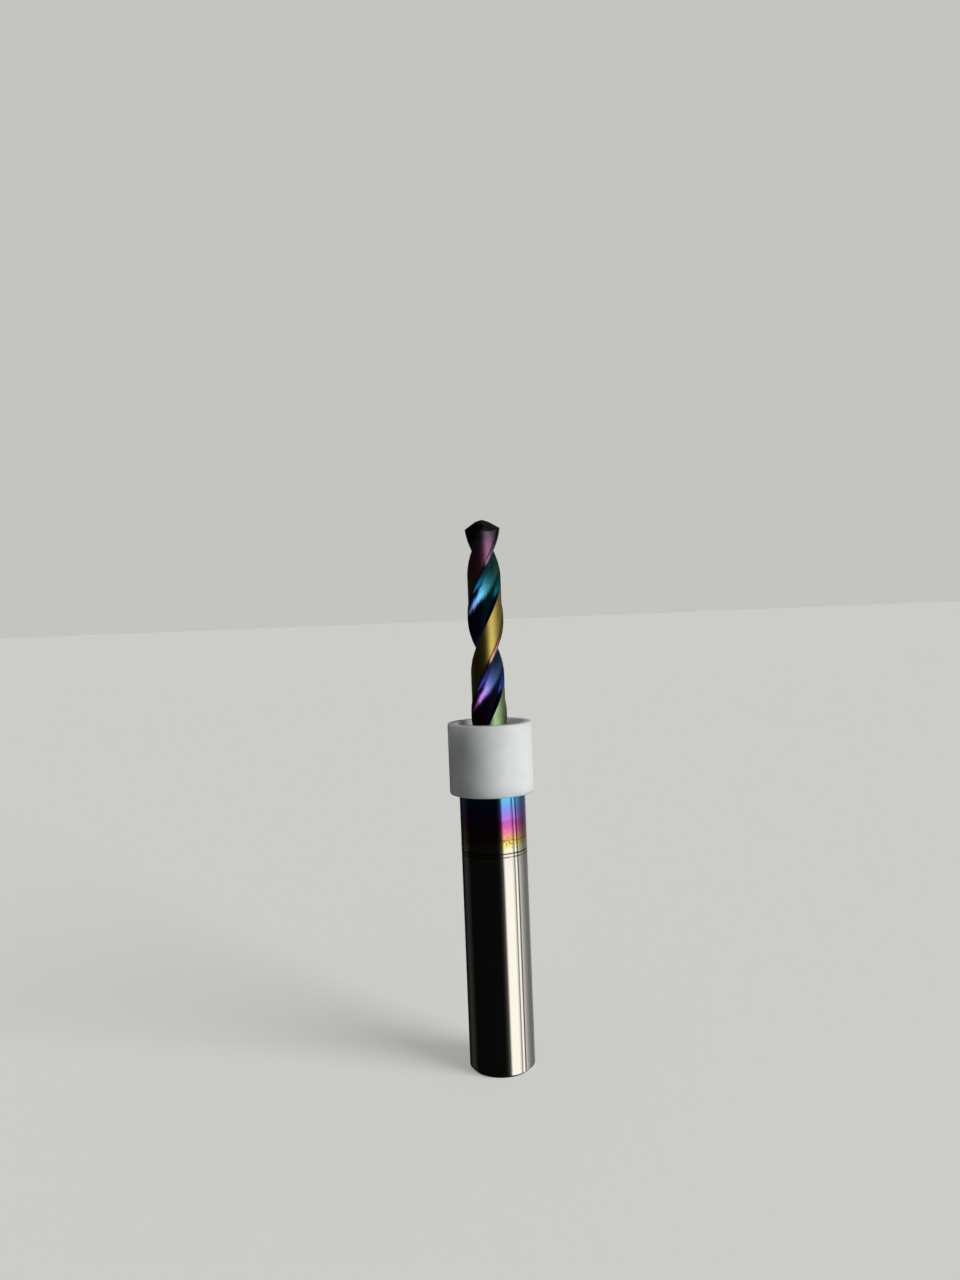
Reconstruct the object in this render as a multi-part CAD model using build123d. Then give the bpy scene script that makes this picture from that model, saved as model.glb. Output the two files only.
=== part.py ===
from build123d import *
import math
import os

# A solid carbide twist drill for a tapping-size hole, and the plastic collar that it carries.
# It stands on its shank end with its point up. The origin is the centre of the shank's end
# face, and +Z runs along the axis. Lengths are in millimetres and angles in degrees.

# Driving dimensions of the shank, shoulder and neck
overall_length = 50.0
shank_diameter = 6.0
shank_length = 25.2
shank_end_chamfer = 0.25
shoulder_angle = 45.0
neck_length = 1.5
neck_relief = 0.05

# Driving dimensions of the fluted body
cutting_diameter = 3.25
web_thickness = 0.85
helix_angle = 30.0
land_angle = 79.0
margin_width = 0.26
body_clearance = 0.11
runout_length = 3.0
runout_sink = 0.1

# Driving dimensions of the ground point
point_angle = 120.0
primary_relief = 12.0
secondary_relief = 28.0
chisel_length = 0.25
notch_angle = 105.0
notch_slope = 35.0
notch_heading = 77.0
corner_heading = -8.5

# Driving dimensions of the plastic collar
collar_diameter = 7.7
collar_length = 6.4
collar_wall = 0.85
collar_rim_chamfer = 0.15
collar_bore_length = 0.95
collar_bore_clearance = 0.02

# Radii
shank_radius = shank_diameter / 2
cutting_radius = cutting_diameter / 2
neck_radius = cutting_radius - neck_relief / 2
body_radius = cutting_radius - body_clearance
half_web = web_thickness / 2
runout_core_radius = half_web - runout_sink
collar_radius = collar_diameter / 2
collar_opening_radius = collar_radius - collar_wall
collar_bore_radius = cutting_radius + collar_bore_clearance

# Slopes of the shoulder, the helix and the point
shoulder_slope = math.tan(math.radians(shoulder_angle))
lead = math.pi * cutting_diameter / math.tan(math.radians(helix_angle))
twist_per_mm = 360 / lead
lip_slope = 1 / math.tan(math.radians(point_angle / 2))
primary_fall = math.tan(math.radians(primary_relief))
secondary_fall = math.tan(math.radians(secondary_relief))

# Heights above the shank's end face
neck_base = shank_length + (shank_radius - neck_radius) / shoulder_slope
neck_top = neck_base + neck_length
runout_top = neck_top + runout_length

# Each lip runs parallel to a diameter, half the web ahead of it, from the chisel edge in the
# middle of the point out to its corner on the cutting diameter
lip_reach = math.sqrt(cutting_radius**2 - half_web**2)
corner_angle = math.degrees(math.asin(half_web / cutting_radius))
corner_height = overall_length + half_web * primary_fall - lip_reach * lip_slope


def polar(radius, angle):
    """Point of the section at this radius and angle."""
    return Vector(radius, 0).rotate(Axis.Z, angle)


def rake_point(reach):
    """Point of the straight lip, carried down its helix to the height of the corner."""
    rise = (lip_reach - reach) * lip_slope
    return Vector(reach, half_web).rotate(Axis.Z, -rise * twist_per_mm)


def flute_section():
    """Cross-section of the two lands at the height of the corners, with lip 1 towards +X."""
    shares_of_lip = (1, 0.8, 0.6, 0.4, 0.2, 0)
    margin_angle = math.degrees(margin_width / cutting_radius)
    step_angle = corner_angle - margin_angle
    heel_angle = corner_angle - land_angle

    land = CenterArc((0, 0), body_radius, heel_angle, step_angle - heel_angle)
    step = Line(land @ 1, polar(cutting_radius, step_angle))
    margin = CenterArc((0, 0), cutting_radius, step_angle, margin_angle)
    rake = Spline(*[rake_point(lip_reach * share) for share in shares_of_lip])
    flute_back = TangentArc(rake @ 1, polar(body_radius, heel_angle + 180), tangent=rake % 1)

    half = [land, step, margin, rake, flute_back]
    other_half = [edge.rotate(Axis.Z, 180) for edge in half]
    return Face(Wire(half + other_half))


def fluted_body():
    """The section twisted along its helix, from the neck to just past the point."""
    point_stock = 0.5
    length = overall_length + point_stock - neck_top
    start_angle = (neck_top - corner_height) * twist_per_mm
    section = Pos(0, 0, neck_top) * Rot(0, 0, start_angle) * flute_section()
    return Solid.extrude_linear_with_rotation(
        section,
        center=(0, 0, neck_top),
        normal=(0, 0, length),
        angle=length * twist_per_mm,
    )


def flank_plane(offset, height, fall):
    """Ground flat that holds a line along the lip, offset from the axis, and falls behind it."""
    along_lip = Vector(1, 0, -lip_slope)
    behind_lip = Vector(0, -1, -fall)
    return Plane(origin=(lip_reach, offset, height), z_dir=behind_lip.cross(along_lip))


def notch():
    """V-shaped gash that cuts the chisel edge short and carries lip 1 on towards the middle."""
    chisel_heading = math.degrees(math.atan2(2 * lip_slope, primary_fall + secondary_fall))
    apex = polar(chisel_length / 2, chisel_heading)
    apex += Vector(0, 0, overall_length - apex.Y * (secondary_fall - primary_fall) / 2)
    heading = polar(1, notch_heading)
    slope = math.radians(notch_slope)
    downwards = heading * math.sin(slope) - Vector(0, 0, math.cos(slope))
    outwards = heading * math.cos(slope) + Vector(0, 0, math.sin(slope))
    reach = cutting_diameter
    half_opening = notch_angle / 2
    opening = make_face(
        Polyline((0, 0), polar(reach, -half_opening), polar(reach, half_opening), close=True)
    )
    return Plane(origin=apex, x_dir=outwards, z_dir=downwards) * extrude(opening, reach, both=True)


def ground_point(body):
    """Two flat facets and a notch behind each lip, with half a turn between the two sides."""
    facets = [
        flank_plane(half_web, corner_height, primary_fall),
        flank_plane(0, corner_height - half_web * primary_fall, secondary_fall),
    ]
    for side in range(2):
        for facet in facets:
            body = split(body, bisect_by=facet, keep=Keep.BOTTOM)
        body = (body - notch()).rotate(Axis.Z, 180)
    return body


def blank():
    """Shank, shoulder, neck and the core on which the flutes run out, turned about the axis."""
    sides = Polyline(
        (runout_core_radius, runout_top),
        (0, runout_top),
        (0, 0),
        (shank_radius - shank_end_chamfer, 0),
        (shank_radius, shank_end_chamfer),
        (shank_radius, shank_length),
        (neck_radius, neck_base),
        (neck_radius, neck_top),
    )
    runout = TangentArc(sides @ 0, sides @ 1, tangent=(0, -1))
    profile = make_face([*sides.edges(), runout])
    return revolve(Plane.XZ * profile, Axis.Z)


def drill():
    """The whole drill, ground from one rod."""
    body = blank() + ground_point(fluted_body())
    return body.rotate(Axis.Z, corner_heading - corner_angle)


def collar():
    """Plastic cup pushed over the flutes, whose floor seats on the shoulder round the neck."""
    base = shank_length
    top = base + collar_length
    bore_base = base + (shank_radius - collar_bore_radius) / shoulder_slope
    floor = bore_base + collar_bore_length
    profile = Polyline(
        (shank_radius, base),
        (collar_radius - collar_rim_chamfer, base),
        (collar_radius, base + collar_rim_chamfer),
        (collar_radius, top - collar_rim_chamfer),
        (collar_radius - collar_rim_chamfer, top),
        (collar_opening_radius, top),
        (collar_opening_radius, floor),
        (collar_bore_radius, floor),
        (collar_bore_radius, bore_base),
        close=True,
    )
    return revolve(Plane.XZ * make_face(profile), Axis.Z)


os.makedirs("parts", exist_ok=True)
for name, solid in {"drill": drill(), "collar": collar()}.items():
    export_step(solid, os.path.join("parts", name + ".step"))
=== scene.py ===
import math

import bmesh
import bpy
from mathutils import Matrix, Vector


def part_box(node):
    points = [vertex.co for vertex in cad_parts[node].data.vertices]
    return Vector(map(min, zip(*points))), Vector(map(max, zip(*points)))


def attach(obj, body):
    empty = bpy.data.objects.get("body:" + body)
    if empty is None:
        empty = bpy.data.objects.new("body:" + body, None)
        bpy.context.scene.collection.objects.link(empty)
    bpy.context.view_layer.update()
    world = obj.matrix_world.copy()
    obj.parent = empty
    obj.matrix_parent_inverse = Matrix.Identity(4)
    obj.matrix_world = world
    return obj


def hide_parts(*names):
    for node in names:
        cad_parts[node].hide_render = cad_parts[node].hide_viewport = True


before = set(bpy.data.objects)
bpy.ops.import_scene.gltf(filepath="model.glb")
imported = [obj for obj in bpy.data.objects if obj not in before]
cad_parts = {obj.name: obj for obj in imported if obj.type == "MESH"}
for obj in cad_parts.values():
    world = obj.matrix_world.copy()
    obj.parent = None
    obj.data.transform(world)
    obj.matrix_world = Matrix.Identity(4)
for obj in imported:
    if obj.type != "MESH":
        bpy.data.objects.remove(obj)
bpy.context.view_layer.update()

# The drill is one rod of sintered tungsten carbide, ground to size all over. Its shank is
# left bare and polished. The flutes were cut by a wheel that follows the helix, and the
# point is four flats with two small notches that thin the web.
mm = 0.001
drill_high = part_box("drill")[1]
collar_low, collar_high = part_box("collar")
overall_length = drill_high.z
shank_radius = drill_high.x
shank_length = collar_low.z
shank_end_chamfer = 0.25 * mm
neck_length = 1.5 * mm
neck_relief = 0.025 * mm
cutting_radius = 1.625 * mm
body_clearance = 0.11 * mm
half_web = 0.425 * mm
margin_width = 0.26 * mm
land_angle = math.radians(79)
helix_angle = math.radians(30)
runout_length = 3.0 * mm
runout_sink = 0.1 * mm
half_point = math.radians(60)
primary_relief = math.radians(12)
secondary_relief = math.radians(28)
corner_heading = math.radians(-8.5)
chisel_length = 0.25 * mm
notch_angle = math.radians(105)
notch_slope = math.radians(35)
notch_heading = math.radians(77)
film_base = 19.65 * mm

body_radius = cutting_radius - body_clearance
neck_radius = cutting_radius - neck_relief
neck_base = shank_length + shank_radius - neck_radius
neck_top = neck_base + neck_length
runout_core_radius = half_web - runout_sink
primary_fall = math.tan(primary_relief)
secondary_fall = math.tan(secondary_relief)
twist = math.tan(helix_angle) / cutting_radius
lip_slope = 1 / math.tan(half_point)
lip_reach = math.sqrt(cutting_radius**2 - half_web**2)
corner_angle = math.asin(half_web / cutting_radius)
corner_height = overall_length + half_web * primary_fall - lip_reach * lip_slope
lip_heading = corner_heading - corner_angle


def turned(point, angle):
    """The point turned about the drill's axis."""
    return Matrix.Rotation(angle, 3, "Z") @ Vector((*point[:2], 0))


def arc(radius, start, end, steps):
    """Points of a round stretch of the section, both ends included."""
    angles = [start + (end - start) * i / steps for i in range(steps + 1)]
    return [turned((radius, 0), angle) for angle in angles]


def tangent_arc(start, heading, end, steps):
    """Points of the arc that leaves start in this heading and reaches end, ends left out."""
    chord = end - start
    half_turn = (math.atan2(chord.y, chord.x) - heading + math.pi) % math.tau - math.pi
    radius = chord.length / 2 / math.sin(half_turn)
    centre = start + turned((0, radius), heading)
    return [centre + turned(start - centre, 2 * half_turn * i / steps) for i in range(1, steps)]


def half_section():
    """One land and the flute ahead of it, at the height of the corners, heel first."""
    land_steps, margin_steps, rake_steps, back_steps = 30, 6, 26, 26
    step = corner_angle - margin_width / cutting_radius
    heel = corner_angle - land_angle
    land = arc(body_radius, heel, step, land_steps)
    margin = arc(cutting_radius, step, corner_angle, margin_steps)[:-1]
    rake = []
    for i in range(rake_steps + 1):
        reach = lip_reach * (1 - i / rake_steps)
        rake.append(turned((reach, half_web), (reach - lip_reach) * lip_slope * twist))
    inward = math.pi - lip_reach * lip_slope * twist
    flute_back = tangent_arc(rake[-1], inward, turned((-body_radius, 0), heel), back_steps)
    return land + margin + rake + flute_back


def runout_radius(height):
    """Radius of the surface on which the leaving wheel ends the flutes."""
    left = max(neck_top + runout_length - height, 0)
    depth = neck_radius - runout_core_radius
    wheel = (runout_length**2 + depth**2) / 2 / depth
    return runout_core_radius + wheel - math.sqrt(wheel**2 - left**2)


def add_ring(mesh, points, height):
    """A closed row of vertices at this height."""
    return [mesh.verts.new((point.x, point.y, height)) for point in points]


def join_rings(mesh, lower, upper):
    """Four-sided faces between two rows with as many vertices."""
    for i in range(len(lower)):
        mesh.faces.new((lower[i - 1], lower[i], upper[i], upper[i - 1]))


def flute_points(half, height):
    """The section at this height: turned along the helix, and filled out by the run-out."""
    floor = runout_radius(height)
    least_step = math.radians(0.1)
    start = corner_angle - land_angle
    radii = [point.length for point in half]
    angles = [start + (math.atan2(point.y, point.x) - start) % math.tau for point in half]
    angles[0] = start
    filled = [i for i in range(1, len(half)) if radii[i] < floor]
    for i in filled:
        angles[i] = max(angles[i], angles[i - 1] + least_step)
    for i in reversed(filled):
        following = angles[i + 1] if i + 1 < len(half) else start + math.pi
        angles[i] = min(angles[i], following - least_step)
    turn = (height - corner_height) * twist + lip_heading
    points = []
    for side in (0, math.pi):
        for radius, angle in zip(radii, angles):
            points.append(turned((max(radius, floor), 0), angle + turn + side))
    return points


def grind_flat(mesh, offset, height, fall):
    """Grinds off what lies above a flat behind lip 1, and closes the cut."""
    at = Vector((lip_reach, offset, height))
    upwards = Vector((0, -1, -fall)).cross(Vector((1, 0, -lip_slope)))
    turn = Matrix.Rotation(lip_heading, 3, "Z")
    everything = mesh.verts[:] + mesh.edges[:] + mesh.faces[:]
    cut = bmesh.ops.bisect_plane(
        mesh, geom=everything, plane_co=turn @ at, plane_no=turn @ upwards, clear_outer=True
    )
    rim = [item for item in cut["geom_cut"] if isinstance(item, bmesh.types.BMEdge)]
    bmesh.ops.holes_fill(mesh, edges=rim, sides=0)


def fluted_mesh():
    """The fluted body and its ground point, closed except at the neck."""
    mesh = bmesh.new()
    half = half_section()
    levels = 280
    point_stock = 0.3 * mm
    below = None
    for i in range(levels + 1):
        height = neck_top + (overall_length + point_stock - neck_top) * i / levels
        row = add_ring(mesh, flute_points(half, height), height)
        if below is not None:
            join_rings(mesh, below, row)
        below = row
    mesh.faces.new(below)
    for side in range(2):
        grind_flat(mesh, half_web, corner_height, primary_fall)
        grind_flat(mesh, 0, corner_height - half_web * primary_fall, secondary_fall)
        bmesh.ops.rotate(mesh, verts=mesh.verts, matrix=Matrix.Rotation(math.pi, 3, "Z"))
    return mesh


def notch_wheel():
    """The edge of the wheel that cuts a notch beside each end of the chisel edge."""
    chisel_heading = math.atan2(2 * lip_slope, primary_fall + secondary_fall)
    apex = turned((chisel_length / 2, 0), chisel_heading)
    apex.z = overall_length - apex.y * (secondary_fall - primary_fall) / 2
    heading = turned((1, 0), notch_heading)
    downwards = heading * math.sin(notch_slope) - Vector((0, 0, math.cos(notch_slope)))
    outwards = heading * math.cos(notch_slope) + Vector((0, 0, math.sin(notch_slope)))
    across = downwards.cross(outwards)
    reach = 2 * cutting_radius
    mesh = bmesh.new()
    ends = []
    for along in (-reach, reach):
        corners = [apex + downwards * along]
        for side in (-notch_angle / 2, notch_angle / 2):
            flank = outwards * math.cos(side) + across * math.sin(side)
            corners.append(corners[0] + flank * reach)
        ends.append([mesh.verts.new(corner) for corner in corners])
    join_rings(mesh, *ends)
    mesh.faces.new(ends[0])
    mesh.faces.new(ends[1])
    bmesh.ops.recalc_face_normals(mesh, faces=mesh.faces)
    bmesh.ops.rotate(mesh, verts=mesh.verts, matrix=Matrix.Rotation(lip_heading, 3, "Z"))
    return mesh


def scratch_object(name, mesh):
    """An object of this mesh, for a modifier to work on."""
    data = bpy.data.meshes.new(name)
    mesh.to_mesh(data)
    mesh.free()
    made = bpy.data.objects.new(name, data)
    bpy.context.scene.collection.objects.link(made)
    return made


def cut_notches(mesh):
    """The mesh with a notch behind each lip."""
    body = scratch_object("unnotched", mesh)
    wheels = []
    for side in range(2):
        wheel_mesh = notch_wheel()
        bmesh.ops.rotate(
            wheel_mesh, verts=wheel_mesh.verts, matrix=Matrix.Rotation(side * math.pi, 3, "Z")
        )
        wheels.append(scratch_object("notch_wheel", wheel_mesh))
        cut = body.modifiers.new("notch", "BOOLEAN")
        cut.operation = "DIFFERENCE"
        cut.solver = "EXACT"
        cut.object = wheels[-1]
    depsgraph = bpy.context.evaluated_depsgraph_get()
    notched = bmesh.new()
    notched.from_object(body, depsgraph)
    for spent in [body, *wheels]:
        bpy.data.meshes.remove(spent.data)
    return notched


def add_shank(mesh):
    """The neck, shoulder and shank, turned about the axis and joined to the fluted body."""
    steps = 256
    join_length = 0.05 * mm
    profile = [
        (neck_radius, neck_top - join_length),
        (neck_radius, neck_base),
        (shank_radius, shank_length),
        (shank_radius, film_base),
        (shank_radius, shank_end_chamfer),
        (shank_radius - shank_end_chamfer, 0),
    ]
    neck_rim = [edge for edge in mesh.edges if edge.is_boundary]
    above = None
    for radius, height in profile:
        row = add_ring(mesh, arc(radius, 0, math.tau, steps)[:-1], height)
        if above is None:
            first = [mesh.edges.new((row[i - 1], row[i])) for i in range(steps)]
            bmesh.ops.bridge_loops(mesh, edges=neck_rim + first)
        else:
            join_rings(mesh, row, above)
        above = row
    mesh.faces.new(list(reversed(above)))


def add_piece(name, mesh, body):
    """An object of the finished mesh, shaded smooth with its real edges kept sharp."""
    bmesh.ops.recalc_face_normals(mesh, faces=mesh.faces)
    data = bpy.data.meshes.new(name)
    mesh.to_mesh(data)
    mesh.free()
    sharp_angle = math.radians(12)
    data.shade_smooth()
    data.set_sharp_from_angle(angle=sharp_angle)
    piece = bpy.data.objects.new(name, data)
    bpy.context.scene.collection.objects.link(piece)
    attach(piece, body)
    return piece


def linear(hex_colour):
    """An sRGB hex colour as the linear colour that a shader takes."""
    channels = []
    for i in (0, 2, 4):
        value = int(hex_colour[i:i + 2], 16) / 255
        channels.append(value / 12.92 if value <= 0.04045 else ((value + 0.055) / 1.055) ** 2.4)
    return (*channels, 1)


def new_material(name):
    """A material with an empty shader, and its node tree and shader."""
    material = bpy.data.materials.new(name)
    material.use_nodes = True
    return material, material.node_tree, material.node_tree.nodes["Principled BSDF"]


def add_node(tree, kind, inputs=(), **settings):
    """A node with its settings made and its inputs filled or linked.

    Inputs are a list in the node's own order, or a dict by name, or by place where inputs share
    a name. A node given for an input is linked from the output that it has in use.
    """
    node = tree.nodes.new("ShaderNode" + kind)
    for name, value in settings.items():
        setattr(node, name, value)
    pairs = inputs.items() if isinstance(inputs, dict) else enumerate(inputs)
    for socket, value in pairs:
        if isinstance(value, bpy.types.Node):
            value = next(output for output in value.outputs if output.enabled)
        if isinstance(value, bpy.types.NodeSocket):
            tree.links.new(value, node.inputs[socket])
        else:
            node.inputs[socket].default_value = value
    return node


def fill_ramp(ramp, stops):
    """Sets the stops of a colour ramp from pairs of place and hex colour."""
    elements = ramp.color_ramp.elements
    while len(elements) < len(stops):
        elements.new(1)
    for element, (place, colour) in zip(elements, stops):
        element.position = place
        element.color = linear(colour)


# Polished carbide: centreless ground and then lapped. Its surface is a warm grey mirror, with
# faint rings round the rod that the grinding left, which blur a reflection along the axis only.
carbide_grey = "C5C1BA"
ring_spacing = 0.25  # real rings are about 0.02 mm apart, and these are coarser so they show
ring_length = 6.67
ring_depth = 0.004 * mm
smudge_size = 1.67
cleanest_gloss, smudged_gloss = 0.04, 0.09
bare_carbide, tree, shader = new_material("polished_cemented_carbide")
place = add_node(tree, "TexCoord").outputs["Object"]
in_mm = add_node(tree, "VectorMath", {0: place, "Scale": 1 / mm}, operation="SCALE")
ring_shape = (1 / ring_length, 1 / ring_length, 1 / ring_spacing)
ring_place = add_node(tree, "VectorMath", [in_mm, ring_shape], operation="MULTIPLY")
rings = add_node(tree, "TexNoise", {"Vector": ring_place, "Scale": 1, "Detail": 3})
smudges = add_node(tree, "TexNoise", {"Vector": in_mm, "Scale": 1 / smudge_size, "Detail": 4})
gloss = add_node(tree, "MapRange", [smudges, 0, 1, cleanest_gloss, smudged_gloss])
bump = add_node(tree, "Bump", {"Height": rings, "Strength": 0.15, "Distance": ring_depth})
shader.inputs["Base Color"].default_value = linear(carbide_grey)
shader.inputs["Metallic"].default_value = 1
tree.links.new(gloss.outputs[0], shader.inputs["Roughness"])
tree.links.new(bump.outputs[0], shader.inputs["Normal"])

# Interference film: a clear hard coating deposited in a vacuum over the ground carbide. Its
# thickness decides its colour. It starts very thin below the collar and thickens towards the
# point, and it is thinner down in the flutes, which stay violet to blue.
coated_carbide, tree, shader = new_material("interference_coated_carbide")
coordinates = add_node(tree, "TexCoord").outputs
place = coordinates["Object"]
in_mm = add_node(tree, "VectorMath", {0: place, "Scale": 1 / mm}, operation="SCALE")
axes = add_node(tree, "SeparateXYZ", [in_mm]).outputs
height_mm = axes["Z"]
across = add_node(tree, "VectorMath", [in_mm, (1, 1, 0)], operation="MULTIPLY")
radius_mm = add_node(tree, "VectorMath", [across], operation="LENGTH")

# The lands are found by the angle from the lip, unwound along the helix, and by the radius, and
# the margins by the radius alone. The limits lie just off the true edges, to take in whole faces.
heel_slack, edge_slack = 0.01, 0.02
least_land = body_radius / mm - 0.012
least_margin = cutting_radius / mm - 0.015
heading = add_node(tree, "Math", [axes["Y"], axes["X"]], operation="ARCTAN2")
at_corner = corner_height * twist - lip_heading - corner_angle
unwinding = add_node(tree, "Math", [height_mm, -twist * mm, at_corner], operation="MULTIPLY_ADD")
unwound = add_node(tree, "Math", [heading, unwinding], operation="ADD")
from_lip = add_node(tree, "Math", [unwound, math.pi, 0.0], operation="WRAP")
heel_angle = math.pi - land_angle - heel_slack
past_heel = add_node(tree, "Math", [from_lip, heel_angle], operation="GREATER_THAN")
before_edge = add_node(tree, "Math", [from_lip, math.pi - edge_slack], operation="LESS_THAN")
proud = add_node(tree, "Math", [radius_mm, least_land], operation="GREATER_THAN")
on_margin = add_node(tree, "Math", [radius_mm, least_margin], operation="GREATER_THAN")
fluted = add_node(tree, "Math", [height_mm, neck_top / mm], operation="GREATER_THAN")
on_land = add_node(tree, "Math", [past_heel, before_edge], operation="MULTIPLY")
for limit in (proud, fluted):
    on_land = add_node(tree, "Math", [on_land, limit], operation="MULTIPLY")
outside = add_node(tree, "Math", [on_land, on_margin], operation="MAXIMUM")

# The film's thickness is 0 for none, and 1 where it looks grey again. On the outside it grows
# in steps, given as the lower height in mm, the upper height and what it gains between them. In
# the flutes it grows evenly between two heights, and it is a little thicker towards +X.
film_steps = [
    (20.3, 24.9, 0.46), (24.9, 31.5, 0.157), (33.0, 39.6, 0.092), (42.0, 46.5, 0.096),
    (46.5, 49.5, 0.14),
]
least_film = 0.06
margin_gain = 0.08
flute_heights = (32.0, 47.0)
flute_films = (0.365, 0.575)
flute_slant = 0.05
mottle_size = 0.4
mottle_depth = 0.025
outer_film = least_film
for low, high, gain in film_steps:
    step = add_node(tree, "MapRange", [height_mm, low, high, 0, gain])
    outer_film = add_node(tree, "Math", [outer_film, step], operation="ADD")
thicker = add_node(tree, "Math", [on_margin, fluted], operation="MULTIPLY")
outer_film = add_node(tree, "Math", [thicker, margin_gain, outer_film], operation="MULTIPLY_ADD")
flute_film = add_node(tree, "MapRange", [height_mm, *flute_heights, *flute_films])
flute_film = add_node(tree, "Math", [axes["X"], flute_slant, flute_film], operation="MULTIPLY_ADD")
film = add_node(tree, "Mix", {0: outside, 2: flute_film, 3: outer_film})
mottle = add_node(tree, "TexNoise", {
    "Vector": in_mm,
    "Scale": 1 / mottle_size,
    "Detail": 4,
    "Roughness": 0.65,
})
uneven = add_node(tree, "MapRange", [mottle, 0.25, 0.75, -mottle_depth, mottle_depth])
film = add_node(tree, "Math", [film, uneven], operation="ADD")

# Its colours go from straw through magenta to blue and green, and through gold and pink again.
hue = add_node(tree, "ValToRGB", [film])
fill_ramp(hue, [
    (0.00, carbide_grey), (0.065, "CDCAB7"), (0.10, "CBC286"), (0.13, "CBB669"),
    (0.16, "C29D5E"), (0.19, "C38970"), (0.22, "C57384"), (0.25, "C05E99"), (0.285, "AF5597"),
    (0.32, "9E559E"), (0.35, "A069C4"), (0.40, "8176CD"), (0.44, "6D85D1"), (0.47, "6292D2"),
    (0.50, "59A2CE"), (0.54, "51B1CE"), (0.58, "44AEBB"), (0.62, "6AB599"), (0.66, "93BD89"),
    (0.69, "B4D195"), (0.73, "DFD064"), (0.77, "E1C96C"), (0.81, "D3A272"), (0.86, "CE78A3"),
    (0.91, "AF80A7"), (0.96, "7F6A86"), (1.00, "6B7C74"),
])

# The flats of the point, and the flutes beside it, took a thick film that looks grey. A flat is
# told from a flute by how far its face looks up.
thick_film_grey = "6A6668"
flank_base, least_upward = 48.0, 0.6
grey_base, grey_top = 47.9, 49.0
upward = add_node(tree, "SeparateXYZ", [coordinates["Normal"]]).outputs["Z"]
facing_up = add_node(tree, "Math", [upward, least_upward], operation="GREATER_THAN")
near_point = add_node(tree, "Math", [height_mm, flank_base], operation="GREATER_THAN")
on_flank = add_node(tree, "Math", [facing_up, near_point], operation="MULTIPLY")
tip_fade = add_node(tree, "MapRange", [height_mm, grey_base, grey_top])
in_flute = add_node(tree, "Math", [1.0, outside], operation="SUBTRACT")
beside_point = add_node(tree, "Math", [tip_fade, in_flute], operation="MULTIPLY")
greyed = add_node(tree, "Math", [on_flank, beside_point], operation="MAXIMUM")
hue = add_node(tree, "Mix", {0: greyed, 6: hue, 7: linear(thick_film_grey)}, data_type="RGBA")

# Two dark rings mark the film's lower edge, where the fixture held the shank. A fainter wavy one
# and a few specks lie above them. Each ring is its height in mm, how much it wavers and its
# strength, and the specks come in over one stretch of height and fade out over another.
stain_brown = "2A2420"
stain_rings = [(19.76, 0.1, 0.85), (20.06, 0.1, 1), (21.25, 0.45, 0.5)]
ring_half_width, ring_fade = 0.04, 0.1
patch_size = 0.77
least_patch, most_patch = 0.5, 0.95
speck_spacing = 0.2
speck_strength = 0.8
speck_edges = [(20.1, 20.4, 0, 1), (21.2, 21.8, 1, 0)]
patches = add_node(tree, "TexNoise", {"Vector": in_mm, "Scale": 1 / patch_size, "Detail": 3})
marks = 0.0
for ring_height, waver, strength in stain_rings:
    wavy = add_node(tree, "Math", [patches, waver, height_mm], operation="MULTIPLY_ADD")
    above = add_node(tree, "Math", [wavy, ring_height + waver / 2], operation="SUBTRACT")
    distance = add_node(tree, "Math", [above], operation="ABSOLUTE")
    ring = add_node(tree, "MapRange", [distance, ring_half_width, ring_fade, strength, 0])
    marks = add_node(tree, "Math", [marks, ring], operation="MAXIMUM")
patchiness = add_node(tree, "MapRange", [patches, 0.35, 0.5, least_patch, most_patch])
marks = add_node(tree, "Math", [marks, patchiness], operation="MULTIPLY")
grit = add_node(tree, "TexNoise", {"Vector": in_mm, "Scale": 1 / speck_spacing, "Detail": 1})
specks = add_node(tree, "MapRange", [grit, 0.62, 0.67, 0, speck_strength])
for low, high, at_low, at_high in speck_edges:
    speckled = add_node(tree, "MapRange", [height_mm, low, high, at_low, at_high])
    specks = add_node(tree, "Math", [specks, speckled], operation="MULTIPLY")
marks = add_node(tree, "Math", [marks, specks], operation="MAXIMUM")
stained = add_node(tree, "Mix", {0: marks, 6: hue, 7: linear(stain_brown)}, data_type="RGBA")

# The shank is smoothest, then the margins and the flutes. The lands keep the wheel's scratches.
shank_gloss, flute_gloss, land_gloss, margin_gloss = 0.05, 0.16, 0.38, 0.14
gloss = add_node(tree, "Mix", {0: outside, 2: flute_gloss, 3: land_gloss})
gloss = add_node(tree, "Mix", {0: on_margin, 2: gloss, 3: margin_gloss})
gloss = add_node(tree, "Mix", {0: fluted, 2: shank_gloss, 3: gloss})

# The lands are cleared a little deeper towards the margin, which turns their faces by this angle.
land_lean = math.radians(3.3)
fall_per_radian = -math.tan(land_lean) * body_radius
cleared = add_node(tree, "Math", [from_lip, fall_per_radian], operation="MULTIPLY")
leaning_face = add_node(tree, "Bump", {"Height": cleared, "Strength": 1, "Distance": 1})
true_face = add_node(tree, "NewGeometry").outputs["Normal"]
facing = add_node(tree, "Mix", {0: on_land, 4: true_face, 5: leaning_face}, data_type="VECTOR")

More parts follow.
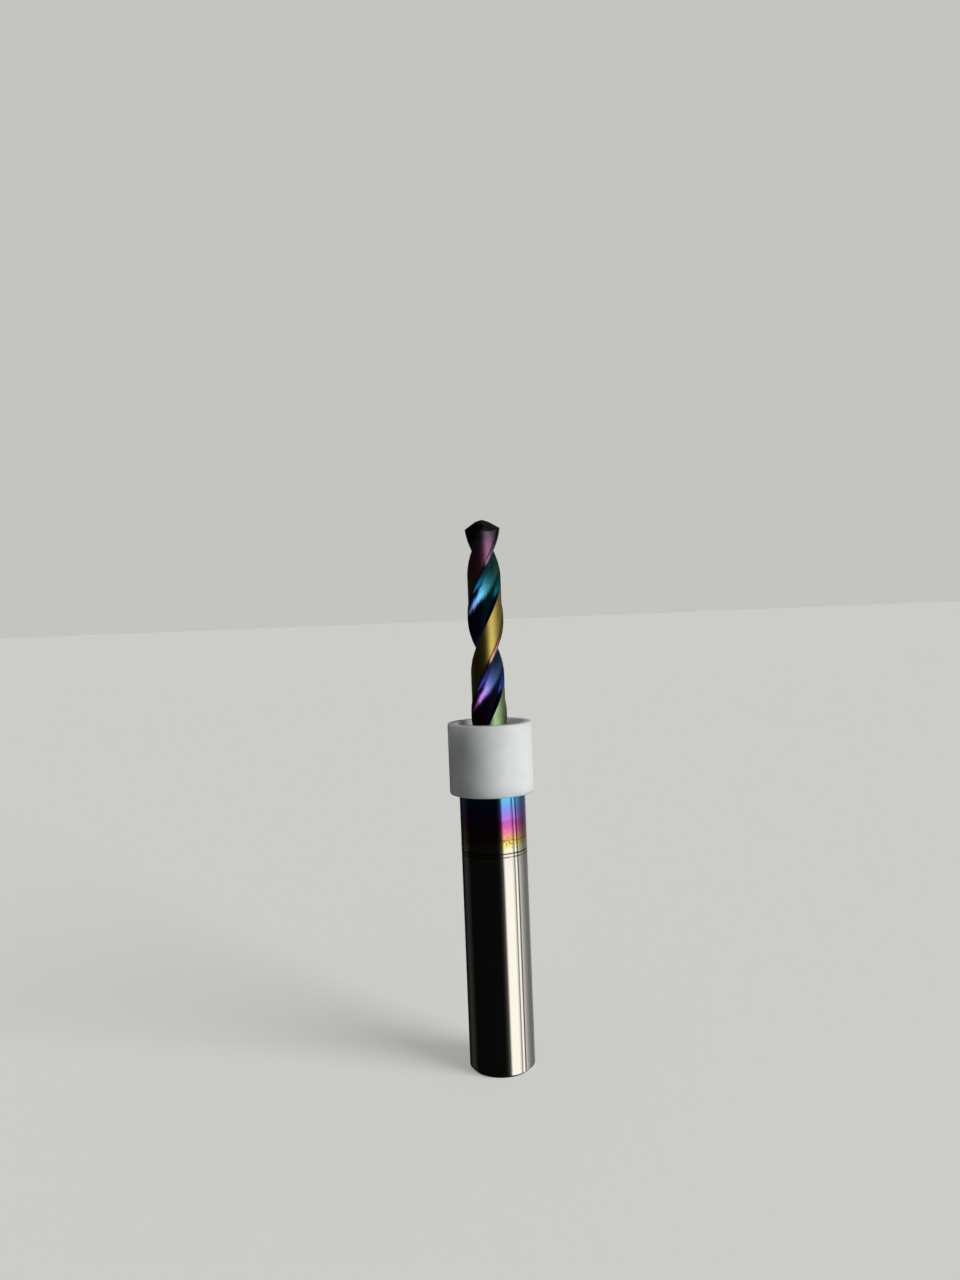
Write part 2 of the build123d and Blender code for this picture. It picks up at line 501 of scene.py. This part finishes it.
# The wheels left fine scratches that follow the helix, on the lands and down in the flutes.
scratch_width = 0.2  # real ones are about 0.01 mm wide, and these are coarser so they show
scratch_length = 5.0
scratch_depth = 0.03 * mm
steepest = 0.35
scratches_per_radian = cutting_radius / mm / scratch_width
around = add_node(tree, "Math", [from_lip, scratches_per_radian], operation="MULTIPLY")
along = add_node(tree, "Math", [height_mm, 1 / scratch_length], operation="MULTIPLY")
inward = add_node(tree, "Math", [radius_mm, 1 / scratch_width], operation="MULTIPLY")
scratches = add_node(tree, "TexNoise", {
    "Vector": add_node(tree, "CombineXYZ", [around, inward, along]),
    "Scale": 1,
    "Detail": 3,
})
bump = add_node(tree, "Bump", {
    "Height": scratches,
    "Strength": add_node(tree, "MapRange", [fluted, 0, 1, 0, steepest]),
    "Distance": scratch_depth,
    "Normal": facing,
})
shader.inputs["Metallic"].default_value = 1
tree.links.new(stained.outputs["Result"], shader.inputs["Base Color"])
tree.links.new(gloss.outputs["Result"], shader.inputs["Roughness"])
tree.links.new(bump.outputs[0], shader.inputs["Normal"])

# The fluted body and its flats come first, then the shank is joined on, and the notches are cut
# last. The faces above the film's lower edge are coated.
drill_mesh = fluted_mesh()
add_shank(drill_mesh)
drill_mesh = cut_notches(drill_mesh)
carbide_drill = add_piece("carbide_drill", drill_mesh, "root")
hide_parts("drill")
carbide_drill.data.materials.append(bare_carbide)
carbide_drill.data.materials.append(coated_carbide)
for face in carbide_drill.data.polygons:
    face.material_index = int(face.center.z > film_base)

# The collar is a small cup of natural polypropylene, injection moulded and pushed over the
# flutes until the cone in its floor seats on the shoulder. It sets how far the drill reaches.
collar_radius = collar_high.x
collar_base = collar_low.z
collar_top = collar_high.z
collar_wall = 0.85 * mm
bore_clearance = 0.02 * mm
bore_length = 0.95 * mm
rim_rounding = 0.15 * mm
opening_radius = collar_radius - collar_wall
bore_radius = cutting_radius + bore_clearance
seat_top = collar_base + shank_radius - bore_radius
floor_top = seat_top + bore_length


def rounded(corner, before, after):
    """Points that round a rim's corner, given the headings to it and away from it."""
    steps = 5
    corner = Vector(corner)
    start = corner - Vector(before) * rim_rounding
    end = corner + Vector(after) * rim_rounding
    points = []
    for i in range(steps + 1):
        share = i / steps
        points.append(start * (1 - share)**2 + corner * 2 * share * (1 - share) + end * share**2)
    return points


def turned_tube(outline):
    """A closed tube from the outline of its wall, as pairs of radius and height."""
    steps = 192
    mesh = bmesh.new()
    rows = []
    for radius, height in outline:
        rows.append(add_ring(mesh, arc(radius, 0, math.tau, steps)[:-1], height))
    for i in range(len(rows)):
        join_rings(mesh, rows[i - 1], rows[i])
    return mesh


collar_outline = [
    (shank_radius, collar_base),
    *rounded((collar_radius, collar_base), (1, 0), (0, 1)),
    *rounded((collar_radius, collar_top), (0, 1), (-1, 0)),
    *rounded((opening_radius, collar_top), (-1, 0), (0, -1)),
    (opening_radius, floor_top),
    (bore_radius, floor_top),
    (bore_radius, seat_top),
]
collar_ring = add_piece("collar_ring", turned_tube(collar_outline), "root")
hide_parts("collar")

# The metal doesn't show the collar, and shows the tent in its place.
collar_ring.visible_glossy = False

# Natural polypropylene: milky and a little see-through, with the matt skin of a spark-eroded
# mould. Light goes in and comes out a millimetre or two away, which softens every shadow on it.
clear_milk, white_milk = "DEE3E2", "EAEEED"
cloud_size = 2.0
pit_size = 0.125  # spark pits are about 0.03 mm wide, and these are coarser so they show
pit_depth = 0.01 * mm
light_reach = 1.8 * mm
polypropylene, tree, shader = new_material("moulded_natural_polypropylene")
place = add_node(tree, "TexCoord").outputs["Object"]
in_mm = add_node(tree, "VectorMath", {0: place, "Scale": 1 / mm}, operation="SCALE")
clouds = add_node(tree, "TexNoise", {"Vector": in_mm, "Scale": 1 / cloud_size, "Detail": 2})
milk = add_node(tree, "ValToRGB", [clouds])
fill_ramp(milk, [(0.3, clear_milk), (0.7, white_milk)])
spark_pits = add_node(tree, "TexNoise", {"Vector": in_mm, "Scale": 1 / pit_size, "Detail": 2})
bump = add_node(tree, "Bump", {"Height": spark_pits, "Strength": 0.2, "Distance": pit_depth})
shader.inputs["Roughness"].default_value = 0.38
shader.inputs["IOR"].default_value = 1.49
shader.inputs["Subsurface Weight"].default_value = 0.9
shader.inputs["Subsurface Radius"].default_value = (1, 1, 1)
shader.inputs["Subsurface Scale"].default_value = light_reach
tree.links.new(milk.outputs[0], shader.inputs["Base Color"])
tree.links.new(bump.outputs[0], shader.inputs["Normal"])
collar_ring.data.materials.append(polypropylene)

# The floor is a plain pale table top, which takes the object's shadow. Most of its light comes
# from the lamp, and a weak glow keeps the shadow soft. It isn't seen in the metal, which shows
# the tent instead, and it throws no light up on the object.
table_reach = 20
laminate_white = "F4F4F0"
table_mesh = bmesh.new()
bmesh.ops.create_grid(table_mesh, x_segments=1, y_segments=1, size=table_reach)
table_data = bpy.data.meshes.new("table_top")
table_mesh.to_mesh(table_data)
table_mesh.free()
table_top = bpy.data.objects.new("table_top", table_data)
bpy.context.scene.collection.objects.link(table_top)
table_top.visible_glossy = False
table_top.visible_diffuse = False
laminate, tree, shader = new_material("pale_laminate")
shader.inputs["Base Color"].default_value = linear(laminate_white)
shader.inputs["Roughness"].default_value = 0.9
shader.inputs["Specular IOR Level"].default_value = 0
shader.inputs["Emission Color"].default_value = linear(laminate_white)
shader.inputs["Emission Strength"].default_value = 0.3
table_data.materials.append(laminate)

# The world is a pale backdrop wherever it is seen, also in metal and through glass, and a weak
# even fill light on everything else.
backdrop_grey = "C4C5C0"
fill_strength = 0.13
world = bpy.data.worlds.new("studio")
bpy.context.scene.world = world
bpy.context.scene.view_settings.view_transform = "Standard"
world.use_nodes = True
tree = world.node_tree
tree.nodes.clear()
path = add_node(tree, "LightPath").outputs
seen = path["Is Camera Ray"]
for ray in ("Is Glossy Ray", "Is Transmission Ray"):
    seen = add_node(tree, "Math", [seen, path[ray]], operation="MAXIMUM")
fill = add_node(tree, "Background", [(1, 1, 1, 1), fill_strength])
backdrop = add_node(tree, "Background", [linear(backdrop_grey), 1])
both = add_node(tree, "MixShader", [seen, fill, backdrop])
add_node(tree, "OutputWorld", [both])

# One wide soft lamp stands low on the right and in front, and the shadow falls to the left. The
# metal doesn't show the lamp, and shows the tent's window in its place.
lamp_strength = 3.5
lamp_width = math.radians(40)
lamp_from = Vector((0.89, -0.45, 0.21))
lamp_data = bpy.data.lights.new("window_light", "SUN")
lamp_data.energy = lamp_strength
lamp_data.angle = lamp_width
lamp = bpy.data.objects.new("window_light", lamp_data)
lamp.rotation_euler = lamp_from.to_track_quat("Z", "Y").to_euler()
lamp.visible_glossy = False
bpy.context.scene.collection.objects.link(lamp)

# A tent hangs round the stage and is seen only in reflections. It is black cloth in front and to
# the left, with a tall window on the right and pale cloth behind, and it darkens overhead.
tent_mesh = bmesh.new()
bmesh.ops.create_uvsphere(tent_mesh, u_segments=64, v_segments=32, radius=1)
tent_data = bpy.data.meshes.new("reflection_tent")
tent_mesh.to_mesh(tent_data)
tent_mesh.free()
tent = bpy.data.objects.new("reflection_tent", tent_data)
bpy.context.scene.collection.objects.link(tent)
tent.visible_camera = False
tent.visible_diffuse = False
tent.visible_transmission = False
tent.visible_volume_scatter = False
tent.visible_shadow = False

# A direction in the tent is an azimuth, from the front towards the right, and an elevation.
tent_cloth = bpy.data.materials.new("tent_cloth")
tent_cloth.use_nodes = True
tree = tent_cloth.node_tree
tree.nodes.clear()
axes = add_node(tree, "SeparateXYZ", [add_node(tree, "TexCoord").outputs["Object"]]).outputs
towards = add_node(tree, "Math", [axes["Y"], -1.0], operation="MULTIPLY")
turn = add_node(tree, "Math", [axes["X"], towards], operation="ARCTAN2")
azimuth = add_node(tree, "Math", [turn], operation="DEGREES")
rise = add_node(tree, "Math", [axes["Z"]], operation="ARCSINE")
elevation = add_node(tree, "Math", [rise], operation="DEGREES")

# The window and its frame by azimuth. They lean to the left higher up, and more on the right.
lean = add_node(tree, "MapRange", [elevation, -14, 36, 0, 30])
spread = add_node(tree, "MapRange", [azimuth, 30, 80, 1, 1.8])
lean = add_node(tree, "Math", [lean, spread], operation="MULTIPLY")
leaning = add_node(tree, "Math", [azimuth, lean], operation="ADD")
cloth = add_node(tree, "ValToRGB", [add_node(tree, "MapRange", [leaning, -180, 180])])
fill_ramp(cloth, [((angle + 180) / 360, grey) for angle, grey in [
    (-180, "444444"), (-172, "0C0C0C"), (-141, "101010"), (-120, "2A2A2A"), (-98, "161616"),
    (-93, "080808"), (14, "0A0A0A"), (22, "1C1C1C"), (27, "3A3A3A"), (32, "585858"),
    (36, "D8D6D0"), (39, "FFFEF8"), (66, "FFFEF8"), (70, "E9E7E0"), (74, "C8C6BE"),
    (76, "707070"), (78, "707070"), (81, "FFFEFA"), (87, "FFFEFA"), (89.5, "505050"),
    (93.5, "505050"), (97, "C0C0BC"), (102, "B0B0AC"), (110, "8E8E8C"), (128, "6A6A6A"),
    (140, "646464"), (160, "747474"), (172, "7C7C7C"), (180, "444444"),
]])

# It is brightest a little below the horizon and fades above and below.
brightest, fade_angle, window_strength = -14, 23, 1.75
above = add_node(tree, "Math", [elevation, -brightest], operation="ADD")
above = add_node(tree, "Math", [above, 0.0], operation="MAXIMUM")
fall = add_node(tree, "Math", [above, -fade_angle], operation="DIVIDE")
fade_above = add_node(tree, "Math", [fall], operation="EXPONENT")
fade_below = add_node(tree, "MapRange", [elevation, -52, -33, 0.08, 1])
faded = add_node(tree, "Math", [fade_above, fade_below], operation="MULTIPLY")
strength = add_node(tree, "Math", [faded, window_strength], operation="MULTIPLY")
lit = add_node(tree, "VectorMath", {0: cloth, "Scale": strength}, operation="SCALE")

# The black cloth is not quite black, and a little light comes from overhead in front.
overhead = add_node(tree, "MapRange", [elevation, 6, 38, 0, 0.06])
in_front = add_node(tree, "MapRange", [azimuth, -40, 10, 0.3, 1])
overhead = add_node(tree, "Math", [overhead, in_front], operation="MULTIPLY")
least = add_node(tree, "MapRange", [elevation, -12, 12, 0.004, 0.015])
least = add_node(tree, "Math", [least, overhead], operation="MAXIMUM")
least = add_node(tree, "CombineXYZ", [least, least, least])
lit = add_node(tree, "VectorMath", [lit, least], operation="MAXIMUM")
glow = add_node(tree, "Emission", {"Color": lit, "Strength": 1})
add_node(tree, "OutputMaterial", [glow])
tent_data.materials.append(tent_cloth)

# The camera looks level at the standing drill, as the photograph looks down at it lying. Its
# place, its small tilt and its lens were fitted to the edges of the drill and the collar.
sensor_width = 36
focal_length_in_pixels = 961
photograph_height = 1280
camera_data = bpy.data.cameras.new("camera")
camera_data.sensor_width = sensor_width
camera_data.lens = focal_length_in_pixels / photograph_height * sensor_width
camera_data.clip_start = 1 * mm
camera = bpy.data.objects.new("camera", camera_data)
camera.location = Vector((4.57, -87.49, 41.10)) * mm
camera.rotation_euler = [math.radians(angle) for angle in (88.684, 2.239, 3.315)]
bpy.context.scene.collection.objects.link(camera)
bpy.context.scene.camera = camera
